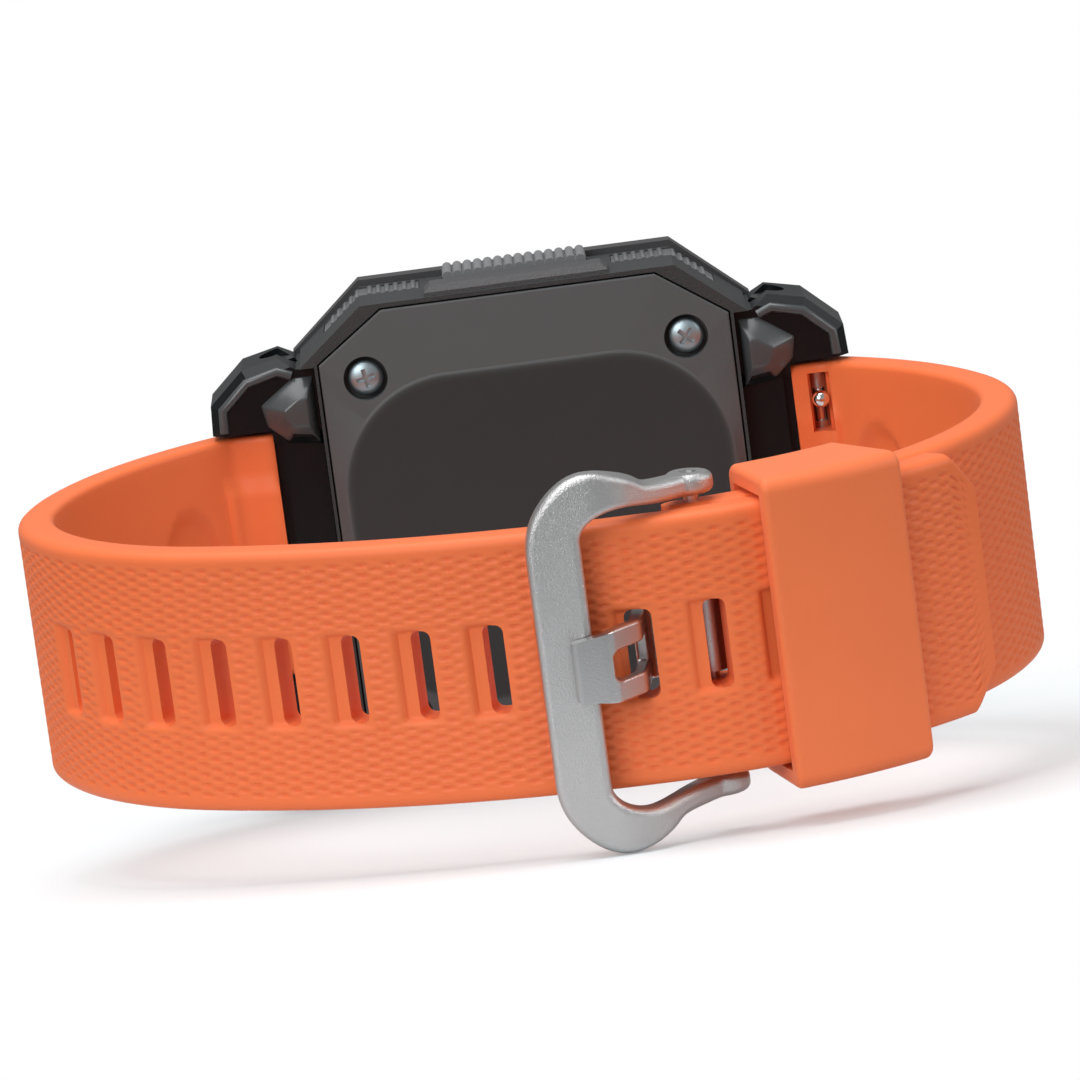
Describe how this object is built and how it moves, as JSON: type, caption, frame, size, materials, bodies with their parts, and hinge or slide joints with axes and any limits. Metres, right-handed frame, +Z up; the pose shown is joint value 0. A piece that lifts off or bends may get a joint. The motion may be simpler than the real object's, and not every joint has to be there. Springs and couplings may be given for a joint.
{
  "type": "sports watch",
  "caption": "Eight-sided resin sports watch, seen to close on its own rubber strap: pin buckle with forked prong, sliding keeper, push buttons and quick-release bars, standing on its side.",
  "frame": {"origin": "middle of the bounding box at the surface that the watch stands on", "axes": "+X from the 6 o'clock side to the 12 o'clock side, along the longest extent; +Z up, nearly towards 3 o'clock; +Y nearly out through the dial. The watch leans 7.4 degrees about X, so that its 9 o'clock guard and its buckle both touch the surface."},
  "size_m": [0.0766, 0.0694, 0.0422],
  "materials": {
    "case_resin": "moulded dark grey resin with a fine texture",
    "grip_resin": "smoky grey ribbed strips",
    "bezel_resin": "moulded charcoal resin",
    "crystal": "clear hardened window",
    "gasket": "black seal",
    "dial_ring": "black minute ring",
    "lcd": "grey-green display",
    "module_resin": "off-white module moulding",
    "board": "green board",
    "cell_steel": "nickelled steel can",
    "clip_steel": "spring steel strip",
    "ferrite": "ferrite bar with a wound middle",
    "contact_brass": "gilt spring leaves",
    "buzzer_brass": "brass disc",
    "cover_resin": "smooth dark grey moulding",
    "screw_steel": "bright steel pan heads",
    "guard_resin": "grained grey bar",
    "button_resin": "grey cap",
    "end_resin": "near-black satin gloss moulding",
    "pin_steel": "darkened steel",
    "bar_steel": "steel tube",
    "release_steel": "polished steel",
    "strap_rubber": "orange rubber with a scale relief",
    "keeper_rubber": "smooth orange rubber",
    "buckle_metal": "fine blasted aluminium",
    "prong_metal": "fine brushed steel",
    "buckle_pin_steel": "turned steel"
  },
  "bodies": {
    "watch": {"case_body": "case_resin", "side_grips": "grip_resin", "bezel": "bezel_resin", "crystal": "crystal", "crystal_gasket": "gasket", "dial_ring": "dial_ring", "lcd_panel": "lcd", "module_frame": "module_resin", "circuit_board": "board", "coin_cell": "cell_steel", "cell_clip": "clip_steel", "antenna": "ferrite", "contact_springs": "contact_brass", "piezo_buzzer": "buzzer_brass", "back_cover": "cover_resin", "back_gasket": "gasket", "back_screws": "screw_steel", "button_guard": "guard_resin", "side_guard": "guard_resin", "end_piece_12": "end_resin", "end_piece_6": "end_resin", "end_piece_pins": "pin_steel", "spring_bar_12": "bar_steel", "spring_bar_6": "bar_steel", "tip_strap": "strap_rubber", "buckle_strap": "strap_rubber", "buckle_pin": "buckle_pin_steel"},
    "main_button_body": {"main_button": "button_resin"},
    "mode_button_body": {"mode_button": "button_resin"},
    "set_button_body": {"set_button": "button_resin"},
    "release_pin_12_body": {"release_pin_12": "release_steel"},
    "release_pin_6_body": {"release_pin_6": "release_steel"},
    "buckle_frame_body": {"buckle_frame": "buckle_metal"},
    "buckle_prong_body": {"buckle_prong": "prong_metal"},
    "keeper_body": {"keeper": "keeper_rubber"}
  },
  "joints": [
    {"name": "main_button_press", "type": "slide", "parent": "watch", "child": "main_button_body", "axis": [0, 0.1292, -0.9916], "range_m": [0, 0.0007], "stiffness_N_per_m": 120},
    {"name": "mode_button_press", "type": "slide", "parent": "watch", "child": "mode_button_body", "axis": [0, -0.1292, 0.9916], "range_m": [0, 0.0007], "stiffness_N_per_m": 120},
    {"name": "set_button_press", "type": "slide", "parent": "watch", "child": "set_button_body", "axis": [0, -0.1292, 0.9916], "range_m": [0, 0.0007], "stiffness_N_per_m": 120},
    {"name": "release_12_slide", "type": "slide", "parent": "watch", "child": "release_pin_12_body", "axis": [0, 0.1292, -0.9916], "range_m": [0, 0.0015], "stiffness_N_per_m": 150},
    {"name": "release_6_slide", "type": "slide", "parent": "watch", "child": "release_pin_6_body", "axis": [0, -0.1292, 0.9916], "range_m": [0, 0.0015], "stiffness_N_per_m": 150},
    {"name": "buckle_turn", "type": "hinge", "parent": "watch", "child": "buckle_frame_body", "pos_m": [0.01216, -0.02611, 0.0147], "axis": [0, -0.1292, 0.9916], "range_deg": [0, 3.5]},
    {"name": "prong_turn", "type": "hinge", "parent": "buckle_frame_body", "child": "buckle_prong_body", "pos_m": [0.01216, -0.02611, 0.0147], "axis": [0, -0.1292, 0.9916], "range_deg": [0, 2.5]},
    {"name": "keeper_slide", "type": "hinge", "parent": "watch", "child": "keeper_body", "pos_m": [0.0087, 0.00189, 0.01835], "axis": [0, -0.1292, 0.9916], "range_deg": [-3, 36]}
  ]
}
